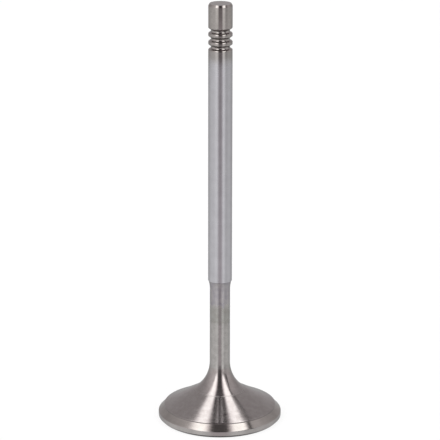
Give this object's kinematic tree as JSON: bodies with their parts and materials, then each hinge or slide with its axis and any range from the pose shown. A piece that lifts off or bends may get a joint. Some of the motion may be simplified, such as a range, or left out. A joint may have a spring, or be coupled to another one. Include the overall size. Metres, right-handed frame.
{
  "type": "engine valve",
  "caption": "Poppet valve for a car engine: flat round head with a ground conical seat and hollow back, slim neck, plated stem and ring grooves below the tip for split keepers.",
  "frame": {"origin": "centre of the flat combustion face, which the valve stands on", "axes": "+Z along the valve's axis, from the combustion face up the stem to the tip; X and Y are any two directions across it"},
  "size_m": [0.031, 0.031, 0.1071],
  "materials": {
    "valve_steel": "turned and ground, with a satin plated stem"
  },
  "bodies": {
    "root": {"valve": "valve_steel"}
  },
  "joints": []
}
